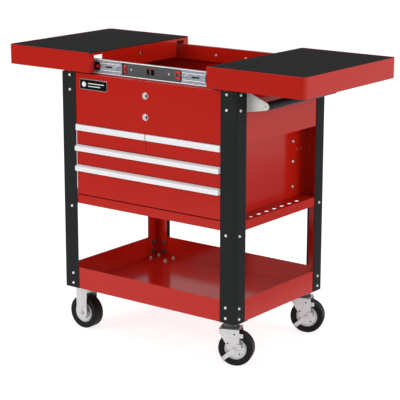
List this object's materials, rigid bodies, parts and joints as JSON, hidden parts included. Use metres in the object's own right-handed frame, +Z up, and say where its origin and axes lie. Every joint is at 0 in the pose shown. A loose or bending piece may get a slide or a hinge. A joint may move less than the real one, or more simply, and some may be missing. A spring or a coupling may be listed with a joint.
{
  "type": "rolling tool chest",
  "caption": "Rolling service cart with sliding top lids, a top well, half-width and full-width drawers, a tool-slot shelf, an open lower tray, a push handle and casters.",
  "frame": {"origin": "on the floor under the middle of the bounding box, with the lids slid apart as stored", "axes": "+X towards the push handle, -Y out of the drawer fronts, +Z up"},
  "size_m": [1.332, 0.588, 1.072],
  "materials": {
    "red_paint": "glossy powder coat",
    "guard_coat": "black textured powder coat",
    "mat_rubber": "matt ribbed rubber",
    "zinc_plate": "bright zinc plate",
    "slide_grey": "satin dark grey",
    "satin_aluminium": "satin anodised",
    "chrome": "polished",
    "bracket_grey": "light grey satin",
    "grip_vinyl": "smooth satin vinyl",
    "tyre_rubber": "smooth rubber",
    "red_plastic": "moulded",
    "badge_black": "gloss enamel"
  },
  "bodies": {
    "cart_frame": {"corner_guard_front_left": "guard_coat", "leg_front_left": "red_paint", "corner_guard_front_right": "guard_coat", "leg_front_right": "red_paint", "corner_guard_rear_left": "guard_coat", "leg_rear_left": "red_paint", "corner_guard_rear_right": "guard_coat", "leg_rear_right": "red_paint", "lower_tray": "red_paint", "middle_shelf": "red_paint", "top_box": "red_paint", "drawer_case": "red_paint", "front_lid_rail": "red_paint", "rear_lid_rail": "red_paint", "front_slide_channel": "slide_grey", "rear_slide_channel": "slide_grey", "upper_runner_left": "zinc_plate", "upper_runner_right": "zinc_plate", "middle_runner_left": "zinc_plate", "middle_runner_right": "zinc_plate", "lower_runner_left": "zinc_plate", "lower_runner_right": "zinc_plate", "upper_drawer_divider": "zinc_plate", "handle_bracket_front": "bracket_grey", "handle_bracket_rear": "bracket_grey", "handle_grip": "grip_vinyl", "rigid_fork_front_left": "zinc_plate", "rigid_fork_rear_left": "zinc_plate", "swivel_plate_front_right": "zinc_plate", "swivel_plate_rear_right": "zinc_plate"},
    "left_lid": {"left_lid": "red_paint", "left_lid_mat": "mat_rubber"},
    "left_lid_members": {"left_lid_front_slide_member": "zinc_plate", "left_lid_rear_slide_member": "zinc_plate"},
    "right_lid": {"right_lid": "red_paint", "right_lid_mat": "mat_rubber"},
    "right_lid_members": {"right_lid_front_slide_member": "zinc_plate", "right_lid_rear_slide_member": "zinc_plate"},
    "lid_lock": {"lid_lock_cylinder": "chrome"},
    "drawer_lock": {"drawer_lock_cylinder": "chrome"},
    "upper_left_drawer": {"upper_left_drawer": "red_paint", "upper_left_drawer_trim": "satin_aluminium"},
    "upper_right_drawer": {"upper_right_drawer": "red_paint", "upper_right_drawer_trim": "satin_aluminium"},
    "middle_drawer": {"middle_drawer": "red_paint", "middle_drawer_trim": "satin_aluminium"},
    "lower_drawer": {"lower_drawer": "red_paint", "lower_drawer_trim": "satin_aluminium"},
    "wheel_front_left": {"tyre_front_left": "tyre_rubber", "wheel_hub_front_left": "zinc_plate"},
    "wheel_front_right": {"tyre_front_right": "tyre_rubber", "wheel_hub_front_right": "zinc_plate"},
    "wheel_rear_left": {"tyre_rear_left": "tyre_rubber", "wheel_hub_rear_left": "zinc_plate"},
    "wheel_rear_right": {"tyre_rear_right": "tyre_rubber", "wheel_hub_rear_right": "zinc_plate"},
    "swivel_front_right": {"swivel_fork_front_right": "zinc_plate"},
    "brake_front_right": {"brake_lever_front_right": "zinc_plate"},
    "swivel_rear_right": {"swivel_fork_rear_right": "zinc_plate"},
    "brake_rear_right": {"brake_lever_rear_right": "zinc_plate"}
  },
  "joints": [
    {"name": "left_lid_slide", "type": "slide", "parent": "cart_frame", "child": "left_lid", "axis": [-1, 0, 0], "range_m": [-0.246, 0.054]},
    {"name": "left_lid_members_slide", "type": "slide", "parent": "cart_frame", "child": "left_lid_members", "axis": [-1, 0, 0], "range_m": [-0.123, 0.027]},
    {"name": "right_lid_slide", "type": "slide", "parent": "cart_frame", "child": "right_lid", "axis": [1, 0, 0], "range_m": [-0.278, 0.022]},
    {"name": "right_lid_members_slide", "type": "slide", "parent": "cart_frame", "child": "right_lid_members", "axis": [1, 0, 0], "range_m": [-0.139, 0.011]},
    {"name": "upper_left_drawer_slide", "type": "slide", "parent": "cart_frame", "child": "upper_left_drawer", "axis": [0, -1, 0], "range_m": [0, 0.4]},
    {"name": "upper_right_drawer_slide", "type": "slide", "parent": "cart_frame", "child": "upper_right_drawer", "axis": [0, -1, 0], "range_m": [0, 0.4]},
    {"name": "middle_drawer_slide", "type": "slide", "parent": "cart_frame", "child": "middle_drawer", "axis": [0, -1, 0], "range_m": [0, 0.4]},
    {"name": "lower_drawer_slide", "type": "slide", "parent": "cart_frame", "child": "lower_drawer", "axis": [0, -1, 0], "range_m": [0, 0.4]},
    {"name": "lid_lock_turn", "type": "hinge", "parent": "cart_frame", "child": "lid_lock", "pos_m": [-0.016, -0.279, 0.939], "axis": [0, 1, 0], "range_deg": [0, 90]},
    {"name": "drawer_lock_turn", "type": "hinge", "parent": "cart_frame", "child": "drawer_lock", "pos_m": [-0.016, -0.279, 0.862], "axis": [0, 1, 0], "range_deg": [0, 90]},
    {"name": "wheel_spin_front_left", "type": "hinge", "parent": "cart_frame", "child": "wheel_front_left", "pos_m": [-0.351, -0.231, 0.0635], "axis": [0, 1, 0], "continuous": true},
    {"name": "swivel_turn_front_right", "type": "hinge", "parent": "cart_frame", "child": "swivel_front_right", "pos_m": [0.33, -0.231, 0.0635], "axis": [0, 0, 1], "continuous": true},
    {"name": "wheel_spin_front_right", "type": "hinge", "parent": "swivel_front_right", "child": "wheel_front_right", "pos_m": [0.3504, -0.22276, 0.0635], "axis": [-0.3746, 0.9272, 0], "continuous": true},
    {"name": "brake_press_front_right", "type": "hinge", "parent": "swivel_front_right", "child": "brake_front_right", "pos_m": [0.3504, -0.22276, 0.0635], "axis": [0.3746, -0.9272, 0], "range_deg": [0, 14]},
    {"name": "wheel_spin_rear_left", "type": "hinge", "parent": "cart_frame", "child": "wheel_rear_left", "pos_m": [-0.351, 0.231, 0.0635], "axis": [0, 1, 0], "continuous": true},
    {"name": "swivel_turn_rear_right", "type": "hinge", "parent": "cart_frame", "child": "swivel_rear_right", "pos_m": [0.33, 0.231, 0.0635], "axis": [0, 0, 1], "continuous": true},
    {"name": "wheel_spin_rear_right", "type": "hinge", "parent": "swivel_rear_right", "child": "wheel_rear_right", "pos_m": [0.3504, 0.23924, 0.0635], "axis": [-0.3746, 0.9272, 0], "continuous": true},
    {"name": "brake_press_rear_right", "type": "hinge", "parent": "swivel_rear_right", "child": "brake_rear_right", "pos_m": [0.3504, 0.23924, 0.0635], "axis": [0.3746, -0.9272, 0], "range_deg": [0, 14]}
  ],
  "couplings": [
    {"joint": "left_lid_members_slide", "follows": "left_lid_slide", "ratio": 0.5},
    {"joint": "right_lid_members_slide", "follows": "right_lid_slide", "ratio": 0.5}
  ]
}
